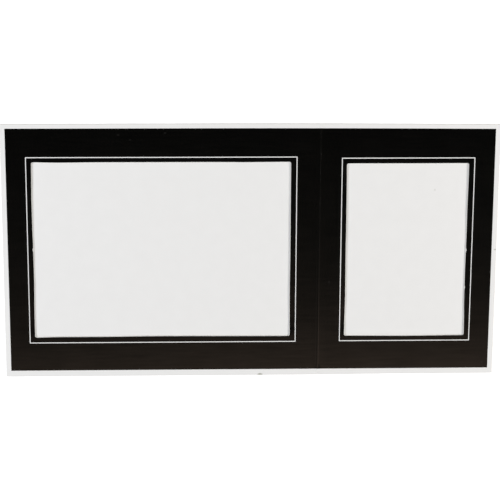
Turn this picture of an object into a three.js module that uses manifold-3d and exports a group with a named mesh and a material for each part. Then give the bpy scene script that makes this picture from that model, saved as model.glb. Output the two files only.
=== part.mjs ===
// Photo folder for two prints: a black-printed window mat glued over a plain white back card.
// Both cards have one crease, on which the folder closes like a book with its windows inside.
// Millimetres. X runs along the open folder, Y from its foot to its top edge, Z out of the windows.
// It lies open on its back, and the origin is under the middle of the back card.
import * as THREE from "three";
import { mergeVertices } from "three/addons/utils/BufferGeometryUtils.js";
import Module from "manifold-3d";

// Prints that the pockets hold, and how far the mat covers each edge of a print
const LARGE_PRINT_LENGTH = 177.8;
const SMALL_PRINT_LENGTH = 88.9;
const PRINT_HEIGHT = 127;
const PRINT_OVERLAP = 4.76;
const SMALL_PRINT_END_OVERLAP = 5.15;

// Card left round the windows
const LARGE_SIDE_MARGIN = 19.7;
const LARGE_CREASE_MARGIN = 19.2;
const SMALL_CREASE_MARGIN = 17.75;
const SMALL_SIDE_MARGIN = 20.25;
const LARGE_FOOT_MARGIN = 27.4;
const SMALL_FOOT_MARGIN = 27.1;
const FOLDER_HEIGHT = 170.3;
const WINDOW_CORNER_RADIUS = 1;

// Thicknesses, from the back card forwards
const BACK_CARD_THICKNESS = 0.6;
const POCKET_DEPTH = 0.3;
const MAT_CARD_THICKNESS = 0.6;
const PRINT_THICKNESS = 0.05;

// Crease: a low bead on the front of each card and the same channel behind it
const CREASE_WIDTH = 1.2;
const CREASE_RISE = 0.12;
const CREASE_STEPS = 8;

// Printed black: the bare border at the card's edges, and the bare keyline round each window
const SIDE_BORDER = 3.2;
const TOP_BORDER = 2.9;
const FOOT_BORDER = 4.1;
const KEYLINE_WIDTH = 0.6;
const LARGE_KEYLINE_OFFSET = 3.48;
const SMALL_KEYLINE_OFFSET = 3.33;

// How far each keyline lies off the middle of its window, as print and cutting don't quite line up
const LARGE_KEYLINE_SHIFT = new THREE.Vector2(0.25, -0.3);
const SMALL_KEYLINE_SHIFT = new THREE.Vector2(0.25, 0.05);

// Glue strips between the cards
const STRIP_WIDTH = 6;
const PRINT_CLEARANCE = 1.2;
const STRIP_TOP_SETBACK = 3;
const STRIP_END_GAP = 0.5;

const MERGE_DISTANCE = 1e-5;
const CUT_MARGIN = 1;
const CORNER_SEGMENTS = 6;

const BLACK_PRINT = { color: 0x12110f, roughness: 0.45, metalness: 0 };
const WHITE_CARD = { color: 0xe9e8e6, roughness: 0.8, metalness: 0 };
const CLEAR_GLUE = { color: 0xded9c8, roughness: 0.5, metalness: 0 };

// Places that follow from the sizes
const largeWindowLength = LARGE_PRINT_LENGTH - 2 * PRINT_OVERLAP;
const smallWindowLength = SMALL_PRINT_LENGTH - 2 * PRINT_OVERLAP;
const largeWindowHeight = PRINT_HEIGHT - 2 * PRINT_OVERLAP;
const smallWindowHeight = PRINT_HEIGHT - 2 * SMALL_PRINT_END_OVERLAP;
const largePanelLength = LARGE_SIDE_MARGIN + largeWindowLength + LARGE_CREASE_MARGIN;
const smallPanelLength = SMALL_CREASE_MARGIN + smallWindowLength + SMALL_SIDE_MARGIN;
const folderLength = largePanelLength + smallPanelLength;
const leftEdge = -folderLength / 2;
const footEdge = -FOLDER_HEIGHT / 2;
const creaseX = leftEdge + largePanelLength;
const pocketFloor = BACK_CARD_THICKNESS;
const matBack = pocketFloor + POCKET_DEPTH;
const matFront = matBack + MAT_CARD_THICKNESS;

const folderOutline = { x: leftEdge, y: footEdge, length: folderLength, height: FOLDER_HEIGHT };
const largeWindow = {
  x: leftEdge + LARGE_SIDE_MARGIN,
  y: footEdge + LARGE_FOOT_MARGIN,
  length: largeWindowLength,
  height: largeWindowHeight,
};
const smallWindow = {
  x: creaseX + SMALL_CREASE_MARGIN,
  y: footEdge + SMALL_FOOT_MARGIN,
  length: smallWindowLength,
  height: smallWindowHeight,
};

// The prints in their pockets, centred behind the windows
const largePrint = {
  x: largeWindow.x - PRINT_OVERLAP,
  y: largeWindow.y - PRINT_OVERLAP,
  length: LARGE_PRINT_LENGTH,
  height: PRINT_HEIGHT,
};
const smallPrint = {
  x: smallWindow.x - PRINT_OVERLAP,
  y: smallWindow.y - SMALL_PRINT_END_OVERLAP,
  length: SMALL_PRINT_LENGTH,
  height: PRINT_HEIGHT,
};

const wasm = await Module();
wasm.setup();

// A rectangle that stands out from another by the same distance all round
function grown(rect, distance) {
  return {
    x: rect.x - distance,
    y: rect.y - distance,
    length: rect.length + 2 * distance,
    height: rect.height + 2 * distance,
  };
}

function moved(rect, shift) {
  return { ...rect, x: rect.x + shift.x, y: rect.y + shift.y };
}

// Traces a rectangle with rounded corners into a THREE.Shape or THREE.Path
function trace(path, rect, radius = 0) {
  const right = rect.x + rect.length;
  const top = rect.y + rect.height;
  if (radius === 0) {
    path.moveTo(rect.x, rect.y);
    path.lineTo(right, rect.y);
    path.lineTo(right, top);
    path.lineTo(rect.x, top);
    path.closePath();
    return path;
  }
  path.moveTo(rect.x + radius, rect.y);
  path.lineTo(right - radius, rect.y);
  path.absarc(right - radius, rect.y + radius, radius, -Math.PI / 2, 0);
  path.lineTo(right, top - radius);
  path.absarc(right - radius, top - radius, radius, 0, Math.PI / 2);
  path.lineTo(rect.x + radius, top);
  path.absarc(rect.x + radius, top - radius, radius, Math.PI / 2, Math.PI);
  path.lineTo(rect.x, rect.y + radius);
  path.absarc(rect.x + radius, rect.y + radius, radius, Math.PI, 1.5 * Math.PI);
  return path;
}

function windowPath(rect) {
  return trace(new THREE.Path(), rect, WINDOW_CORNER_RADIUS);
}

// Turns a closed three.js geometry into a solid that can be joined and cut
function solidOf(geometry) {
  geometry.deleteAttribute("normal");
  geometry.deleteAttribute("uv");
  const merged = mergeVertices(geometry, MERGE_DISTANCE);
  return new wasm.Manifold(
    new wasm.Mesh({
      numProp: 3,
      vertProperties: merged.attributes.position.array,
      triVerts: new Uint32Array(merged.index.array),
    }),
  );
}

function geometryOf(solid) {
  const mesh = solid.getMesh();
  const geometry = new THREE.BufferGeometry();
  geometry.setAttribute("position", new THREE.BufferAttribute(mesh.vertProperties, mesh.numProp));
  geometry.setIndex(new THREE.BufferAttribute(mesh.triVerts, 1));
  geometry.computeVertexNormals();
  return geometry;
}

// How far the crease lifts a card at x
function creaseLift(x) {
  const across = (x - creaseX) / CREASE_WIDTH;
  return Math.abs(across) < 1 / 2 ? (CREASE_RISE * (1 + Math.cos(2 * Math.PI * across))) / 2 : 0;
}

// The section of a creased layer, as [x, z] points from its left end to its right end at height z
function creasedLine(z) {
  const points = [[leftEdge - CUT_MARGIN, z]];
  for (let step = 0; step <= CREASE_STEPS; step += 1) {
    const x = creaseX + CREASE_WIDTH * (step / CREASE_STEPS - 1 / 2);
    points.push([x, z + creaseLift(x)]);
  }
  points.push([leftEdge + folderLength + CUT_MARGIN, z]);
  return points;
}

// A layer of even thickness that rises over the crease, cut to an outline seen from the front
function creasedLayer(shape, back, thickness) {
  const section = [...creasedLine(back), ...creasedLine(back + thickness).reverse()];
  const layer = new THREE.ExtrudeGeometry(
    new THREE.Shape(section.map(([x, z]) => new THREE.Vector2(x, z))),
    { depth: FOLDER_HEIGHT + 2 * CUT_MARGIN, bevelEnabled: false },
  );
  layer.rotateX(Math.PI / 2);
  layer.translate(0, FOLDER_HEIGHT / 2 + CUT_MARGIN, 0);
  const cutter = new THREE.ExtrudeGeometry(shape, {
    depth: thickness + CREASE_RISE + 2 * CUT_MARGIN,
    bevelEnabled: false,
    curveSegments: CORNER_SEGMENTS,
  });
  cutter.translate(0, 0, back - CUT_MARGIN);
  return geometryOf(solidOf(layer).intersect(solidOf(cutter)));
}

// A flat layer with the outline of a rectangle or of a shape with a hole
function flatLayer(shape, back, thickness) {
  const geometry = new THREE.ExtrudeGeometry(shape, {
    depth: thickness,
    bevelEnabled: false,
    curveSegments: CORNER_SEGMENTS,
  });
  geometry.translate(0, 0, back);
  return geometry;
}

function node(name, geometry, finish) {
  const mesh = new THREE.Mesh(geometry, new THREE.MeshStandardMaterial(finish));
  mesh.name = name;
  return mesh;
}

function backCard() {
  const shape = trace(new THREE.Shape(), folderOutline);
  return node("back_card", creasedLayer(shape, 0, BACK_CARD_THICKNESS), WHITE_CARD);
}

function matCard() {
  const shape = trace(new THREE.Shape(), folderOutline);
  shape.holes.push(windowPath(largeWindow), windowPath(smallWindow));
  return node("mat_card", creasedLayer(shape, matBack, MAT_CARD_THICKNESS), WHITE_CARD);
}

// The inner edge of a window's keyline, and with keyline width added, its outer edge
function keylineInside(window, offset, shift) {
  return moved(grown(window, offset), shift);
}

const largeKeyline = keylineInside(largeWindow, LARGE_KEYLINE_OFFSET, LARGE_KEYLINE_SHIFT);
const smallKeyline = keylineInside(smallWindow, SMALL_KEYLINE_OFFSET, SMALL_KEYLINE_SHIFT);

function blackField() {
  const printed = {
    x: leftEdge + SIDE_BORDER,
    y: footEdge + FOOT_BORDER,
    length: folderLength - 2 * SIDE_BORDER,
    height: FOLDER_HEIGHT - FOOT_BORDER - TOP_BORDER,
  };
  const shape = trace(new THREE.Shape(), printed);
  for (const keyline of [largeKeyline, smallKeyline]) {
    shape.holes.push(trace(new THREE.Path(), grown(keyline, KEYLINE_WIDTH)));
  }
  return node("black_print_field", creasedLayer(shape, matFront, PRINT_THICKNESS), BLACK_PRINT);
}

function blackBand(name, window, keyline) {
  const shape = trace(new THREE.Shape(), keyline);
  shape.holes.push(windowPath(window));
  return node(name, flatLayer(shape, matFront, PRINT_THICKNESS), BLACK_PRINT);
}

// Glue strips up both sides of a print and under it; the top edge stays open for the print
function pocketStrips(print, names) {
  const stops = grown(print, PRINT_CLEARANCE);
  const foot = stops.y - STRIP_WIDTH;
  const sideHeight = footEdge + FOLDER_HEIGHT - STRIP_TOP_SETBACK - foot;
  const strips = [
    { x: stops.x - STRIP_WIDTH, y: foot, length: STRIP_WIDTH, height: sideHeight },
    {
      x: stops.x + STRIP_END_GAP,
      y: foot,
      length: stops.length - 2 * STRIP_END_GAP,
      height: STRIP_WIDTH,
    },
    { x: stops.x + stops.length, y: foot, length: STRIP_WIDTH, height: sideHeight },
  ];
  return strips.map((rect, index) =>
    node(names[index], flatLayer(trace(new THREE.Shape(), rect), pocketFloor, POCKET_DEPTH), CLEAR_GLUE),
  );
}

const folder = new THREE.Group();
folder.add(backCard(), matCard(), blackField());
folder.add(blackBand("black_band_large", largeWindow, largeKeyline));
folder.add(blackBand("black_band_small", smallWindow, smallKeyline));
folder.add(
  ...pocketStrips(largePrint, [
    "large_pocket_side_strip",
    "large_pocket_foot_strip",
    "large_pocket_crease_strip",
  ]),
);
folder.add(
  ...pocketStrips(smallPrint, [
    "small_pocket_crease_strip",
    "small_pocket_foot_strip",
    "small_pocket_side_strip",
  ]),
);

export default folder;
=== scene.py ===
# The photo folder lies open on a white table: a black-printed mat card over a white back card.
# Metres throughout. Sizes that the solids hold are read from the frame.
import math

import bpy
import numpy as np
from mathutils import Euler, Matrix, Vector
from mathutils.geometry import delaunay_2d_cdt


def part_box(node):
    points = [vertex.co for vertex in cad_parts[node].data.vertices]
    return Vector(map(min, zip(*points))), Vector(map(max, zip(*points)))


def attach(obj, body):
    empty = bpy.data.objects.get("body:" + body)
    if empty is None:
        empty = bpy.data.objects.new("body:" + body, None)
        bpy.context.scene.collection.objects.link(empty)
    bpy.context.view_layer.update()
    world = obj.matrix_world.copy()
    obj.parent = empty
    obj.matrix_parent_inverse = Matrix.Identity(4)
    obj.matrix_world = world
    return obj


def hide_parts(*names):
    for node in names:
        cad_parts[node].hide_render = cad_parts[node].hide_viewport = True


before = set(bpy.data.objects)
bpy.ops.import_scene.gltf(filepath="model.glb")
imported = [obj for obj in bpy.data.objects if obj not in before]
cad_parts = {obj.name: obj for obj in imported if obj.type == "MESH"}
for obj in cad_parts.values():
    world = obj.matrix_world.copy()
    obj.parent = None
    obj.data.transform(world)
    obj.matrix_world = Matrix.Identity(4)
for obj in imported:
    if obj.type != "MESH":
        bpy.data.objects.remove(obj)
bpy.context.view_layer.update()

MM = 0.001

# Camera, as it stood over the open folder, looking down from beyond its top edge
CAMERA_PLACE = Vector((-44.31, 291.0, 1153.59)) * MM
CAMERA_TURN = Euler([math.radians(angle) for angle in (-14.1261, -2.1072, 0.2581)])
FOCAL_LENGTH_PX = 1808.39
IMAGE_WIDTH_PX = 500
SENSOR_WIDTH = 36
CAMERA_CLIP = 10 * MM

# Die-cut edges of the cards
EDGE_ROUND = 0.14 * MM
EDGE_STEPS = 4
OUTER_CORNER_RADIUS = 0.3 * MM
WINDOW_CORNER_RADIUS = 1 * MM
CORNER_STEPS = 6

# The bare rim that the cut leaves between the black and a window
RIM_WIDTH = 0.1 * MM

# Mesh spacing along the edges, over the sheets, along the crease and out from a window, and how far the
# points round a window keep from the edges of the print
EDGE_SPACING = 1.5 * MM
SHEET_SPACING = 6 * MM
CREASE_SPACING = 3 * MM
LIP_OFFSETS = [0.6 * MM, 1.4 * MM, 2.6 * MM, 4.2 * MM]
LIP_CLEARANCE = 0.2 * MM

# Bead pressed up along the crease, and how many strips its curve takes
CREASE_WIDTH = 1.2 * MM
CREASE_STEPS = 12

# How far the unglued lip round a window sags into the pocket, and how wide that lip is
LIP_SAG = 0.28 * MM
LIP_WIDTH = 5 * MM

# Where each cut wanders, from the foot or the left: shares of the side, and millimetres into the window
LARGE_WANDER = {
    "foot": [
        (0, -0.14), (0.1, 0.14), (0.25, 0.12), (0.48, 0.35), (0.6, 0.3), (0.75, 0.14), (0.92, 0), (1, 0),
    ],
    "top": [(0, -0.2), (0.1, 0.06), (0.28, -0.12), (0.65, -0.1), (0.78, -0.03), (0.8, 0.06), (1, -0.08)],
    "left": [(0, 0), (0.13, 0.02), (0.33, 0.3), (0.53, 0.2), (0.6, 0.03), (0.78, -0.12), (1, 0.15)],
    "right": [(0, -0.13), (0.09, -0.03), (0.25, 0.11), (0.54, -0.04), (0.75, 0), (1, 0)],
}
SMALL_WANDER = {
    "foot": [(0, 0.18), (0.5, -0.14), (1, 0.1)],
    "top": [(0, 0), (0.5, 0.06), (1, 0)],
    "left": [(0, -0.16), (0.09, -0.03), (0.23, 0.2), (0.52, 0.04), (0.64, 0.12), (0.88, 0.03), (1, -0.15)],
    "right": [
        (0, -0.24), (0.09, -0.08), (0.2, 0.25), (0.37, 0.31), (0.6, 0.14), (0.73, 0.19), (0.93, 0), (1, 0),
    ],
}

# How far the lip stays up along each side: 1 is level with the mat, 0 is down in the pocket
LEVEL = [(0, 1), (1, 1)]
LARGE_LIP = {
    "foot": LEVEL,
    "top": LEVEL,
    "left": [(0, 1), (0.06, 0.25), (0.6, 0.3), (0.85, 1), (1, 1)],
    "right": [(0, 1), (0.06, 0.25), (0.35, 0.8), (0.65, 1), (0.94, 0.35), (1, 1)],
}
SMALL_LIP = {
    "foot": LEVEL,
    "top": LEVEL,
    "left": [(0, 1), (0.06, 0.25), (0.35, 0.8), (0.65, 1), (0.94, 0.35), (1, 1)],
    "right": [(0, 1), (0.2, 0.6), (0.35, 0.1), (0.55, 0.1), (0.8, 1), (1, 1)],
}

# Chips where the cutting die left ties: where they are, and their length and depth in the black
CHIP_LENGTH = 1.3 * MM
CHIP_DEPTH = 0.5 * MM
LARGE_CHIPS = [Vector((-142.7, 1.9)) * MM]
SMALL_CHIPS = [Vector((141.9, 0.3)) * MM, Vector((141.9, -24.9)) * MM]

# The top edge is cut a little low towards its right-hand end, and the foot edge a little high there
TOP_EDGE_FALL = 0.8 * MM
TOP_EDGE_TURN = -30 * MM
FOOT_EDGE_RISE = 0.35 * MM
FOOT_EDGE_TURN = (40 * MM, 90 * MM)

# Wear and painted highlight on the black: lines along the crease, part rubbed ink and part a painted
# highlight that grows towards the foot, and pale specks, as (place, half size)
CREASE_RUB_AND_HIGHLIGHT_WIDTH = 0.55 * MM
SECOND_RUB_AND_HIGHLIGHT_OFFSET = 1.35 * MM
RUB_AND_HIGHLIGHT_FADE_TOP = 60 * MM
RUB_AND_HIGHLIGHT_FADE_FOOT = -40 * MM
PALE_SPECKS = [
    (Vector((51.8, -21.0)) * MM, Vector((0.9, 0.9)) * MM),
    (Vector((-86.2, 78.0)) * MM, Vector((1.2, 0.6)) * MM),
    (Vector((-78.5, 74.7)) * MM, Vector((0.8, 0.5)) * MM),
    (Vector((-55.9, 79.2)) * MM, Vector((1.2, 0.6)) * MM),
    (Vector((155.5, -77.2)) * MM, Vector((0.9, 0.7)) * MM),
]

# Dirt and painted shade on the white card, as (place, half size, strength): a dash at the foot edge, part
# dirt and part the painted shade of a small nick in the edge, and two faint specks
DIRT_AND_SHADE_MARKS = [
    (Vector((6.5, -84.6)) * MM, Vector((2.3, 1.0)) * MM, 1.0),
    (Vector((161.4, 0.6)) * MM, Vector((1.3, 0.8)) * MM, 0.6),
    (Vector((120.4, 40.9)) * MM, Vector((0.9, 1.1)) * MM, 0.25),
]

# Colours, each as the darkest and the palest that a finish varies between, or as one colour of wear
CARD_COLOURS = [(0.780, 0.774, 0.762, 1), (0.830, 0.825, 0.813, 1)]
CUT_EDGE_COLOURS = [(0.68, 0.66, 0.62, 1), (0.82, 0.80, 0.76, 1)]
BLACK_COLOURS = [(0.0003, 0.0003, 0.0002, 1), (0.0015, 0.0014, 0.0012, 1)]
PRINT_EDGE_COLOURS = [(0.003, 0.003, 0.003, 1), (0.006, 0.006, 0.005, 1)]
GLUE_COLOURS = [(0.62, 0.58, 0.47, 1), (0.78, 0.75, 0.64, 1)]
# The colour of the dirt, and of the painted shade in the nick at the foot edge
DIRT_AND_SHADE_COLOUR = (0.36, 0.36, 0.30, 1)
# The colour of the rubbed ink on the crease, which also paints the crease's highlight
RUBBED_AND_HIGHLIT_BLACK = (0.0075, 0.0066, 0.0058, 1)
SPECK_COLOUR = (0.013, 0.012, 0.011, 1)

# How deep the fibres of the card, the layers of its cut edge, the print's grain and the glue stand out
CARD_RELIEF = 0.012 * MM
CUT_EDGE_RELIEF = 0.03 * MM
PRINT_RELIEF = 0.002 * MM
PRINT_EDGE_RELIEF = 0.005 * MM
GLUE_RELIEF = 0.05 * MM

# The table, lit evenly by its own glow where the camera or a reflection sees it
TABLE_SIZE = 4
TABLE_GAP = 0.15 * MM
TABLE_COLOUR = (0.86, 0.86, 0.86, 1)
TABLE_GLOW = 0.4

# A square lamp stands on each side, the left one a little cooler and the right one a little warmer
LAMP_PLACE = Vector((1.2, 0.1, 0.9))
LAMP_SIZE = 0.6
LAMP_POWER = 14
LEFT_LAMP_COLOUR = (0.96, 0.99, 1.04)
RIGHT_LAMP_COLOUR = (1.03, 1.0, 0.96)

# The room: an even fill, and for mirrored light a ramp by how far its direction leans towards the foot.
# It is dark overhead, with a band of warm wall beyond the foot that stands nearer on the right.
ROOM_FILL = (0.3, 0.3, 0.3, 1)
WALL_NEARER_RIGHT = 0.06
ROOM_STOPS = [
    (0.10, (0.008, 0.009, 0.010, 1)),
    (0.18, (0.016, 0.019, 0.020, 1)),
    (0.27, (0.050, 0.053, 0.050, 1)),
    (0.30, (0.100, 0.088, 0.074, 1)),
    (0.34, (1.000, 0.730, 0.550, 1)),
    (0.46, (1.200, 0.900, 0.720, 1)),
    (0.60, (0.160, 0.150, 0.140, 1)),
    (1.00, (0.120, 0.120, 0.120, 1)),
]


# Sizes from the frame

class Rectangle:
    """A rectangle seen from the front, by its low and high corners"""

    def __init__(self, low, high):
        self.low = np.array(low[:2], float)
        self.high = np.array(high[:2], float)

    def grown(self, distance):
        return Rectangle(self.low - distance, self.high + distance)

    def holds(self, points):
        return ((points > self.low) & (points < self.high)).all(axis=-1)

    def share(self, points):
        """Where points lie across the rectangle, from 0 to 1 each way"""
        return np.clip((points - self.low) / (self.high - self.low), 0, 1)

    def gap(self, points):
        """How far outside the rectangle points are"""
        outside = np.maximum(np.maximum(self.low - points, points - self.high), 0)
        return np.hypot(outside[:, 0], outside[:, 1])


def node_vertices(node):
    return np.array([vertex.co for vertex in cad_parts[node].data.vertices])


def node_rectangle(node):
    return Rectangle(*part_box(node))


def hole_rectangle(node, side=0):
    """The hole in a CAD node, left of the crease if side is -1 and right of it if side is 1"""
    points = node_vertices(node)[:, :2]
    inner = points[node_rectangle(node).grown(-0.5 * MM).holds(points)]
    if side:
        inner = inner[(inner[:, 0] - crease_x) * side > CREASE_WIDTH]
    return Rectangle(inner.min(axis=0), inner.max(axis=0))


mat_vertices = node_vertices("mat_card")
crease_x = mat_vertices[mat_vertices[:, 2].argmax(), 0]
mat_back = mat_vertices[:, 2].min()
mat_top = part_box("black_band_large")[0].z
print_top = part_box("black_band_large")[1].z
crease_rise = mat_vertices[:, 2].max() - mat_top
pocket_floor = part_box("large_pocket_foot_strip")[0].z

folder = node_rectangle("mat_card")
black_field = node_rectangle("black_print_field")
large_keyline = {
    "outside": hole_rectangle("black_print_field", -1),
    "inside": node_rectangle("black_band_large"),
}
small_keyline = {
    "outside": hole_rectangle("black_print_field", 1),
    "inside": node_rectangle("black_band_small"),
}
large_window = hole_rectangle("black_band_large")
small_window = hole_rectangle("black_band_small")


# Outlines

def along(shares, pairs):
    """A value that eases from pair to pair of (share, value)"""
    places, values = np.array(pairs).T
    after = np.clip(np.searchsorted(places, shares), 1, len(places) - 1)
    ease = (shares - places[after - 1]) / (places[after] - places[after - 1])
    ease = ease * ease * (3 - 2 * ease)
    return values[after - 1] * (1 - ease) + values[after] * ease


def side_points(start, end, spacing):
    """Points from start up to, and without, end"""
    steps = max(1, round(math.dist(start, end) / spacing))
    return [np.array(start) + (np.array(end) - start) * step / steps for step in range(steps)]


def outline(rectangle, radius=0, spacing=EDGE_SPACING):
    """An anticlockwise outline with rounded corners"""
    (left, foot), (right, top) = rectangle.low, rectangle.high
    corners = [(right, foot), (right, top), (left, top), (left, foot)]
    inward = [(-1, 1), (-1, -1), (1, -1), (1, 1)]
    points = []
    start = np.array([left + radius, foot])
    for number, (corner, turn) in enumerate(zip(corners, inward)):
        centre = np.array(corner) + radius * np.array(turn)
        first = math.radians(90 * (number - 1))
        arc = [
            centre + radius * np.array([math.cos(angle), math.sin(angle)])
            for angle in np.linspace(first, first + math.pi / 2, CORNER_STEPS + 1)
        ]
        points += side_points(start, arc[0], spacing)
        points += arc[:-1] if radius else []
        start = arc[-1]
    return np.array(points)


def strayed(points, window, wander):
    """Points moved in the plane as the cuts of a window wander"""
    across, up = window.share(points).T
    from_left = along(up, wander["left"]) * (1 - across)
    from_right = along(up, wander["right"]) * across
    from_foot = along(across, wander["foot"]) * (1 - up)
    from_top = along(across, wander["top"]) * up
    return points + MM * np.column_stack([from_left - from_right, from_foot - from_top])


def window_outline(window, wander, offset):
    return strayed(outline(window.grown(offset), WINDOW_CORNER_RADIUS + offset), window, wander)


def chipped(points, chips, window):
    """An outline of the black round a window, set back where the die's ties tore it"""
    away = points - (window.low + window.high) / 2
    sideways = np.column_stack([np.sign(away[:, 0]), np.zeros(len(away))])
    for chip in chips:
        near = np.abs(points[:, 1] - chip.y) / (CHIP_LENGTH / 2)
        reach = (np.abs(points[:, 0] - chip.x) < 3 * MM) & (near < 1)
        points = points + sideways * (CHIP_DEPTH * np.where(reach, 1 - near**2, 0))[:, None]
    return points


def grid_points(rectangle):
    low, high = rectangle.low, rectangle.high
    columns, rows = (max(2, round(size / SHEET_SPACING)) for size in high - low)
    across, up = np.meshgrid(
        np.linspace(low[0], high[0], columns + 1),
        np.linspace(low[1], high[1], rows + 1),
    )
    return np.column_stack([across.ravel(), up.ravel()])


def crease_points(rectangle):
    """Straight rows of points up the crease, so that its bead keeps one section"""
    rows = round((rectangle.high[1] - rectangle.low[1]) / CREASE_SPACING)
    across = crease_x + CREASE_WIDTH * np.linspace(-1 / 2, 1 / 2, CREASE_STEPS + 1)
    up = np.linspace(rectangle.low[1], rectangle.high[1], rows + 1)
    return np.array([(x, y) for x in across for y in up])


def inside(points, loop):
    """Whether points lie inside a closed loop, by the crossings to their right"""
    following = np.roll(loop, -1, axis=0)
    x, y = points[:, :1], points[:, 1:]
    spans = (loop[:, 1] > y) != (following[:, 1] > y)
    rise = following[:, 1] - loop[:, 1]
    rise = np.where(rise == 0, 1, rise)
    crossing = loop[:, 0] + (y - loop[:, 1]) / rise * (following[:, 0] - loop[:, 0])
    return (spans & (x < crossing)).sum(axis=1) % 2 == 1


def clear_of(points, loops, distance):
    """The points at least a distance from every point of the loops"""
    edges = np.vstack(loops)
    nearest = np.array([np.hypot(*(edges - point).T).min() for point in points])
    return points[nearest > distance]


def fill(loops, extra):
    """Triangles that fill the first loop outside the others, by way of the extra points in it"""
    points = np.vstack(loops)
    edges = []
    for loop in loops:
        first = len(edges)
        edges += [(first + i, first + (i + 1) % len(loop)) for i in range(len(loop))]
    within = inside(extra, loops[0])
    for hole in loops[1:]:
        within &= ~inside(extra, hole)
    points = np.vstack([points, extra[within]])
    flat = [Vector(point) for point in points]
    made, _, triangles, *_ = delaunay_2d_cdt(flat, edges, [], 0, 1e-8)
    made, triangles = np.array(made), np.array(triangles)
    centres = made[triangles].mean(axis=1)
    kept = inside(centres, loops[0])
    for hole in loops[1:]:
        kept &= ~inside(centres, hole)
    return made, triangles[kept]


# Sheets

def placed(name, data):
    piece = bpy.data.objects.new(name, data)
    bpy.context.scene.collection.objects.link(piece)
    return piece


def crease_lift(points):
    across = np.clip((points[:, 0] - crease_x) / CREASE_WIDTH, -1 / 2, 1 / 2)
    return crease_rise * (1 + np.cos(2 * np.pi * across)) / 2


def lip_sag(points):
    """How far the mat hangs into the pocket near each window"""
    total = np.zeros(len(points))
    for window, lip in ((large_window, LARGE_LIP), (small_window, SMALL_LIP)):
        near = np.clip(1 - window.gap(points) / LIP_WIDTH, 0, 1)
        across, up = window.share(points).T
        sides = np.column_stack([across, 1 - across, up, 1 - up])
        weights = np.clip(sides - 0.9, 0, 1) + 1e-6
        heights = np.column_stack([
            along(up, lip["right"]),
            along(up, lip["left"]),
            along(across, lip["top"]),
            along(across, lip["foot"]),
        ])
        height = (weights * heights).sum(axis=1) / weights.sum(axis=1)
        total += LIP_SAG * (1 - height) * near**2 * (3 - 2 * near)
    return total


def mat_lift(points):
    return crease_lift(points) - lip_sag(points)


def trimmed(points):
    """Points of the flat sheet, moved as its top and foot edges were cut out of true"""
    x, y = points.T
    keyline_top = large_keyline["outside"].high[1]
    towards_top = np.clip((y - keyline_top) / (black_field.high[1] - keyline_top), 0, 1)
    towards_end = np.clip((x - TOP_EDGE_TURN) / (folder.high[0] - TOP_EDGE_TURN), 0, 1)
    towards_foot = np.clip((black_field.low[1] - y) / (black_field.low[1] - folder.low[1]), 0, 1)
    past_turn = np.interp(x, FOOT_EDGE_TURN, (0, 1))
    rise = FOOT_EDGE_RISE * towards_foot * past_turn - TOP_EDGE_FALL * towards_top * towards_end**2
    return np.column_stack([x, y + rise])


def edge_profile(thickness, rounding):
    """Steps of (outward, down) from the front face over the cut edge to the back face"""
    if not rounding:
        return []
    turn = np.linspace(0, math.pi / 2, EDGE_STEPS + 1)[1:]
    front = [(rounding * math.sin(angle), rounding * (1 - math.cos(angle))) for angle in turn]
    return front + [(outward, thickness - down) for outward, down in reversed(front)]


def outward_mitres(points, border):
    """How far each point of the border moves for its cut edge to move out by one"""
    run = points[border[:, 1]] - points[border[:, 0]]
    run /= np.hypot(*run.T)[:, None]
    away = np.column_stack([run[:, 1], -run[:, 0]])
    arriving = np.zeros(points.shape)
    leaving = np.zeros(points.shape)
    leaving[border[:, 0]] = away
    arriving[border[:, 1]] = away
    rim = border[:, 0]
    mitre = (arriving + leaving)[rim]
    return mitre / (1 + (arriving[rim] * leaving[rim]).sum(axis=1)[:, None])


def sheet(name, points, triangles, back, top, lift, rounding, face, edge):
    """A closed sheet over flat triangles, with its cut edges rounded over and in their own material"""
    used = np.unique(triangles)
    order = np.full(len(points), -1)
    order[used] = range(len(used))
    points, triangles = trimmed(points[used]), order[triangles]
    count = len(points)
    raised = lift(points)

    directed = np.vstack([triangles[:, [0, 1]], triangles[:, [1, 2]], triangles[:, [2, 0]]])
    pairs = {tuple(edge) for edge in directed.tolist()}
    border = np.array([edge for edge in directed.tolist() if (edge[1], edge[0]) not in pairs])
    rim = border[:, 0]
    mitre = outward_mitres(points, border)

    rings = [
        np.column_stack([points[rim] + mitre * outward, top + raised[rim] - down])
        for outward, down in edge_profile(top - back, rounding)
    ]
    vertices = np.vstack([
        np.column_stack([points, top + raised]),
        np.column_stack([points, back + raised]),
        *rings,
    ])
    ring_start = {vertex: number for number, vertex in enumerate(rim)}
    levels = [{vertex: vertex for vertex in rim}]
    for level in range(len(rings)):
        first = 2 * count + level * len(rim)
        levels.append({vertex: first + number for vertex, number in ring_start.items()})
    levels.append({vertex: vertex + count for vertex in rim})
    walls = [
        (upper[a], lower[a], lower[b], upper[b])
        for upper, lower in zip(levels, levels[1:])
        for a, b in border
    ]
    faces = [tuple(face) for face in triangles.tolist()]
    faces += [tuple(face) for face in (triangles[:, ::-1] + count).tolist()]
    flat_faces = len(faces)
    faces += [tuple(int(corner) for corner in wall) for wall in walls]

    mesh = bpy.data.meshes.new(name)
    mesh.from_pydata(vertices.tolist(), [], faces)
    mesh.materials.append(face)
    mesh.materials.append(edge)
    mesh.polygons.foreach_set("material_index", [0] * flat_faces + [1] * len(walls))
    mesh.shade_smooth()
    turned = {
        tuple(sorted((int(level[a]), int(level[b]))))
        for level in (levels[0], levels[-1])
        for a, b in border
    }
    for line in mesh.edges:
        line.use_edge_sharp = tuple(sorted(line.vertices)) in turned
    mesh.update()
    return placed(name, mesh)


# Shader arithmetic

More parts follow.
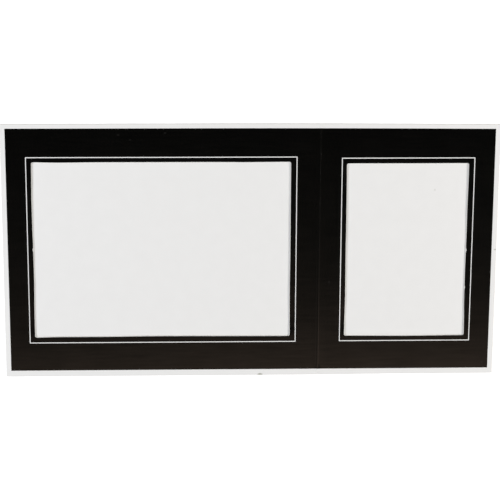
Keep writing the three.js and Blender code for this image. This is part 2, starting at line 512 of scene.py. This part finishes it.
class Value:
    """A number that varies over a surface: arithmetic on it adds Math nodes"""

    def __init__(self, finish, socket):
        self.finish = finish
        self.socket = socket

    def math(self, operation, first, second):
        return self.finish.node("Math", {"operation": operation}, {0: first, 1: second})

    def __add__(self, other):
        return self.math("ADD", self, other)

    def __radd__(self, other):
        return self.math("ADD", other, self)

    def __sub__(self, other):
        return self.math("SUBTRACT", self, other)

    def __rsub__(self, other):
        return self.math("SUBTRACT", other, self)

    def __mul__(self, other):
        return self.math("MULTIPLY", self, other)

    def __rmul__(self, other):
        return self.math("MULTIPLY", other, self)

    def __truediv__(self, other):
        return self.math("DIVIDE", self, other)

    def __abs__(self):
        return self.math("ABSOLUTE", self, 0)


class Finish:
    """The nodes of a material or of the world"""

    def __init__(self, owner):
        owner.use_nodes = True
        self.owner = owner
        self.tree = owner.node_tree
        self.tree.nodes.clear()

    def node(self, kind, settings=None, inputs=None, output=0):
        made = self.tree.nodes.new("ShaderNode" + kind)
        for name, value in (settings or {}).items():
            if name == "stops":
                set_stops(made.color_ramp, value)
            else:
                setattr(made, name, value)
        for name, value in (inputs or {}).items():
            if isinstance(value, Value):
                self.tree.links.new(value.socket, made.inputs[name])
            else:
                made.inputs[name].default_value = value
        return Value(self, made.outputs[output])

    def place(self):
        return self.node("TexCoord", output="Object")

    def noise(self, size, detail, stretch=(1, 1, 1)):
        """Noise from 0 to 1 whose features are about a size in metres across"""
        scaled = self.node(
            "Mapping", inputs={"Vector": self.place(), "Scale": [1 / (size * part) for part in stretch]}
        )
        return self.node("TexNoise", inputs={"Vector": scaled, "Scale": 1.0, "Detail": detail})

    def coordinate(self, axis):
        return self.node("SeparateXYZ", inputs={0: self.place()}, output=axis)

    def fade(self, value, none, full):
        """0 where a value is at none, rising to 1 where it is at full"""
        return self.node(
            "MapRange",
            {"interpolation_type": "SMOOTHSTEP"},
            {"Value": value, "From Min": none, "From Max": full},
        )

    def spot(self, centre, half_size, ragged):
        """1 in the middle of an ellipse on the sheet, 0 outside it, with its edge broken up by a noise"""
        across = (self.coordinate("X") - centre.x) / half_size.x
        up = (self.coordinate("Y") - centre.y) / half_size.y
        return self.fade(across * across + up * up + ragged, 1.4, 0.4)

    def mix_colour(self, share, first, second):
        return self.node(
            "Mix", {"data_type": "RGBA"}, {"Factor": share, "A": first, "B": second}, output="Result"
        )

    def bump(self, height, distance):
        return self.node(
            "Bump", inputs={"Height": height, "Distance": distance, "Strength": 1.0}, output="Normal"
        )

    def end(self, kind, shader):
        output = self.tree.nodes.new("ShaderNodeOutput" + kind)
        self.tree.links.new(shader.socket, output.inputs["Surface"])
        return self.owner

    def surface(self, inputs):
        return self.end("Material", self.node("BsdfPrincipled", inputs=inputs, output="BSDF"))


def material_finish(name):
    return Finish(bpy.data.materials.new(name))


def set_stops(ramp, stops):
    for element, (position, colour) in zip(list(ramp.elements), stops):
        element.position = position
        element.color = colour
    for position, colour in stops[len(ramp.elements):]:
        ramp.elements.new(position).color = colour


# Finishes

# Dirt marks on the card, the one at the foot edge partly the painted shade of a nick
def dirt_and_shade(finish, ragged):
    share = 0
    for centre, half_size, strength in DIRT_AND_SHADE_MARKS:
        share = finish.spot(centre, half_size, ragged) * strength + share
    return share


def white_card_finish():
    finish = material_finish("white_card_face")
    clouds = finish.noise(9 * MM, detail=3)
    fibres = finish.noise(0.5 * MM, detail=3, stretch=(1.8, 0.7, 1))
    tone = clouds * 0.6 + fibres * 0.4
    colour = finish.mix_colour(tone, *CARD_COLOURS)
    colour = finish.mix_colour(dirt_and_shade(finish, fibres), colour, DIRT_AND_SHADE_COLOUR)
    height = finish.noise(0.35 * MM, detail=3, stretch=(1.6, 0.8, 1))
    return finish.surface({
        "Base Color": colour,
        "Roughness": fibres * 0.1 + 0.78,
        "Specular IOR Level": 0.3,
        "Normal": finish.bump(height, CARD_RELIEF),
    })


def cut_edge_finish():
    finish = material_finish("white_card_cut_edge")
    layers = finish.noise(0.12 * MM, detail=2, stretch=(12, 12, 1))
    flecks = finish.noise(0.5 * MM, detail=3)
    tone = layers * 0.6 + flecks * 0.4
    colour = finish.mix_colour(tone, *CUT_EDGE_COLOURS)
    colour = finish.mix_colour(dirt_and_shade(finish, flecks), colour, DIRT_AND_SHADE_COLOUR)
    return finish.surface({
        "Base Color": colour,
        "Roughness": 0.9,
        "Specular IOR Level": 0.2,
        "Normal": finish.bump(tone, CUT_EDGE_RELIEF),
    })


def crease_rub_and_highlight(finish, broken):
    """Where the crease has rubbed the black, with a painted highlight that grows towards the foot: one
    line on it and one beside it
    """
    towards_foot = finish.fade(finish.coordinate("Y"), RUB_AND_HIGHLIGHT_FADE_TOP, RUB_AND_HIGHLIGHT_FADE_FOOT)
    from_crease = finish.coordinate("X") - crease_x
    on_crease = finish.fade(abs(from_crease), CREASE_RUB_AND_HIGHLIGHT_WIDTH, 0)
    beside = finish.fade(abs(from_crease + SECOND_RUB_AND_HIGHLIGHT_OFFSET), CREASE_RUB_AND_HIGHLIGHT_WIDTH, 0)
    lines = on_crease * 0.6 + beside * towards_foot * 0.4
    # Painted highlight: the lines grow stronger towards the foot, where the black mirrors the warm light
    return lines * (towards_foot * 0.8 + 0.2) * (broken + 0.5)


def black_print_finish():
    finish = material_finish("satin_black_print")
    clouds = finish.noise(22 * MM, detail=3)
    streaks = finish.noise(1.4 * MM, detail=2, stretch=(16, 1, 1))
    grain = finish.noise(0.4 * MM, detail=3)
    tone = clouds * 0.4 + streaks * 0.4 + grain * 0.2
    colour = finish.mix_colour(tone, *BLACK_COLOURS)
    # Rubbed ink and a painted highlight along the crease
    colour = finish.mix_colour(crease_rub_and_highlight(finish, grain), colour, RUBBED_AND_HIGHLIT_BLACK)
    for centre, half_size in PALE_SPECKS:
        colour = finish.mix_colour(finish.spot(centre, half_size, grain), colour, SPECK_COLOUR)
    roughness = 0.08 + clouds * 0.03 + streaks * 0.05 + grain * 0.02
    height = grain * 0.7 + streaks * 0.3
    return finish.surface({
        "Base Color": colour,
        "Roughness": roughness,
        "Coat Weight": finish.fade(streaks * 0.7 + clouds * 0.3, 0.3, 0.7) * 0.24 + 0.04,
        "Coat Roughness": 0.13,
        "Normal": finish.bump(height, PRINT_RELIEF),
    })


def print_edge_finish():
    finish = material_finish("matt_black_print_edge")
    grain = finish.noise(0.2 * MM, detail=3)
    return finish.surface({
        "Base Color": finish.mix_colour(grain, *PRINT_EDGE_COLOURS),
        "Roughness": 1.0,
        "Specular IOR Level": 0.0,
        "Normal": finish.bump(grain, PRINT_EDGE_RELIEF),
    })


def glue_finish():
    finish = material_finish("clear_glue")
    clouds = finish.noise(2 * MM, detail=3)
    colour = finish.mix_colour(clouds, *GLUE_COLOURS)
    return finish.surface({
        "Base Color": colour,
        "Roughness": clouds * 0.15 + 0.35,
        "Normal": finish.bump(clouds, GLUE_RELIEF),
    })


card_face = white_card_finish()
card_edge = cut_edge_finish()
black_print = black_print_finish()
print_edge = print_edge_finish()
clear_glue = glue_finish()


# Pieces

def join_frame(piece, slot, *nodes):
    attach(piece, "root")
    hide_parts(*nodes)


def outer_loop():
    return outline(folder.grown(-EDGE_ROUND), OUTER_CORNER_RADIUS)


def window_loops(offset):
    return [
        window_outline(large_window, LARGE_WANDER, offset),
        window_outline(small_window, SMALL_WANDER, offset),
    ]


def lip_points():
    return np.vstack([loop for offset in LIP_OFFSETS for loop in window_loops(EDGE_ROUND + offset)])


def crease_band(points):
    return np.abs(points[:, 0] - crease_x) < CREASE_WIDTH


def sheet_points(rectangle, loops):
    """Points over a sheet: a coarse grid, and close rows on the crease"""
    grid = clear_of(grid_points(rectangle), loops, SHEET_SPACING / 2)
    return np.vstack([grid[~crease_band(grid)], crease_points(rectangle.grown(-CREASE_SPACING / 4))])


def back_card():
    loops = [outer_loop()]
    flat = fill(loops, sheet_points(folder, loops))
    piece = sheet("back_card_sheet", *flat, 0, pocket_floor, crease_lift, EDGE_ROUND, card_face, card_edge)
    join_frame(piece, "white_card", "back_card")


def mat_card():
    loops = [outer_loop(), *window_loops(EDGE_ROUND)]
    lips = lip_points()
    extra = np.vstack([sheet_points(folder, [*loops, lips]), lips])
    flat = fill(loops, extra)
    piece = sheet("mat_card_sheet", *flat, mat_back, mat_top, mat_lift, EDGE_ROUND, card_face, card_edge)
    join_frame(piece, "white_card", "mat_card")


def black_field_print():
    keylines = [outline(keyline["outside"]) for keyline in (large_keyline, small_keyline)]
    loops = [outline(black_field), *keylines]
    lips = lip_points()
    clear_lips = clear_of(lips, loops, LIP_CLEARANCE)
    extra = np.vstack([sheet_points(black_field, [*loops, lips]), clear_lips])
    flat = fill(loops, extra)
    piece = sheet("black_field", *flat, mat_top, print_top, mat_lift, 0, black_print, print_edge)
    join_frame(piece, "black_print", "black_print_field")


def black_band(name, window, wander, keyline, chips, node):
    rim = window_outline(window, wander, EDGE_ROUND + RIM_WIDTH)
    loops = [outline(keyline["inside"]), chipped(rim, chips, window)]
    extra = clear_of(lip_points(), loops, LIP_CLEARANCE)
    flat = fill(loops, extra)
    piece = sheet(name, *flat, mat_top, print_top, mat_lift, 0, black_print, print_edge)
    join_frame(piece, "black_print", node)


def glue_strips():
    for name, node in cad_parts.items():
        if name.endswith("_strip"):
            node.data.materials.clear()
            node.data.materials.append(clear_glue)


back_card()
mat_card()
black_field_print()
black_band("large_band", large_window, LARGE_WANDER, large_keyline, LARGE_CHIPS, "black_band_large")
black_band("small_band", small_window, SMALL_WANDER, small_keyline, SMALL_CHIPS, "black_band_small")
glue_strips()


# Table, light and camera

def table():
    finish = material_finish("white_table")
    seen = finish.node("LightPath", output="Is Camera Ray")
    mirrored = finish.node("LightPath", output="Is Glossy Ray")
    through = finish.node("LightPath", output="Is Transmission Ray")
    glow = (seen + mirrored + through) * TABLE_GLOW
    white = finish.node("BsdfDiffuse", inputs={"Color": TABLE_COLOUR}, output="BSDF")
    light = finish.node("Emission", inputs={"Color": (1, 1, 1, 1), "Strength": glow})
    finish.end("Material", finish.node("AddShader", inputs={0: white, 1: light}))
    half = TABLE_SIZE / 2
    mesh = bpy.data.meshes.new("table")
    corners = [(x * half, y * half, -TABLE_GAP) for x, y in ((-1, -1), (1, -1), (1, 1), (-1, 1))]
    mesh.from_pydata(corners, [], [(0, 1, 2, 3)])
    mesh.materials.append(finish.owner)
    placed("table", mesh)


def lamp(name, side, colour):
    data = bpy.data.lights.new(name, "AREA")
    data.size = LAMP_SIZE
    data.energy = LAMP_POWER
    data.color = colour
    piece = placed(name, data)
    piece.location = LAMP_PLACE * Vector((side, 1, 1))
    piece.rotation_euler = (-piece.location).to_track_quat("-Z", "Y").to_euler()
    piece.visible_camera = False


def room():
    finish = Finish(bpy.data.worlds.new("room"))
    direction = finish.node("TexCoord", output="Generated")
    to_right = finish.node("SeparateXYZ", inputs={0: direction}, output="X")
    to_top = finish.node("SeparateXYZ", inputs={0: direction}, output="Y")
    lean = to_right * WALL_NEARER_RIGHT - to_top
    ramp = finish.node("ValToRGB", {"stops": ROOM_STOPS}, {"Fac": lean}, output="Color")
    mirrored = finish.node("LightPath", output="Is Glossy Ray")
    seen = finish.node("LightPath", output="Is Camera Ray")
    colour = finish.mix_colour(mirrored, ROOM_FILL, ramp)
    colour = finish.mix_colour(seen, colour, (1, 1, 1, 1))
    background = finish.node("Background", inputs={"Color": colour, "Strength": 1.0})
    bpy.context.scene.world = finish.end("World", background)


def camera():
    data = bpy.data.cameras.new("camera")
    data.sensor_width = SENSOR_WIDTH
    data.lens = FOCAL_LENGTH_PX / IMAGE_WIDTH_PX * SENSOR_WIDTH
    data.clip_start = CAMERA_CLIP
    piece = placed("camera", data)
    piece.location = CAMERA_PLACE
    piece.rotation_euler = CAMERA_TURN
    bpy.context.scene.camera = piece


table()
lamp("left_lamp", -1, LEFT_LAMP_COLOUR)
lamp("right_lamp", 1, RIGHT_LAMP_COLOUR)
room()
camera()
bpy.context.scene.view_settings.view_transform = "Standard"
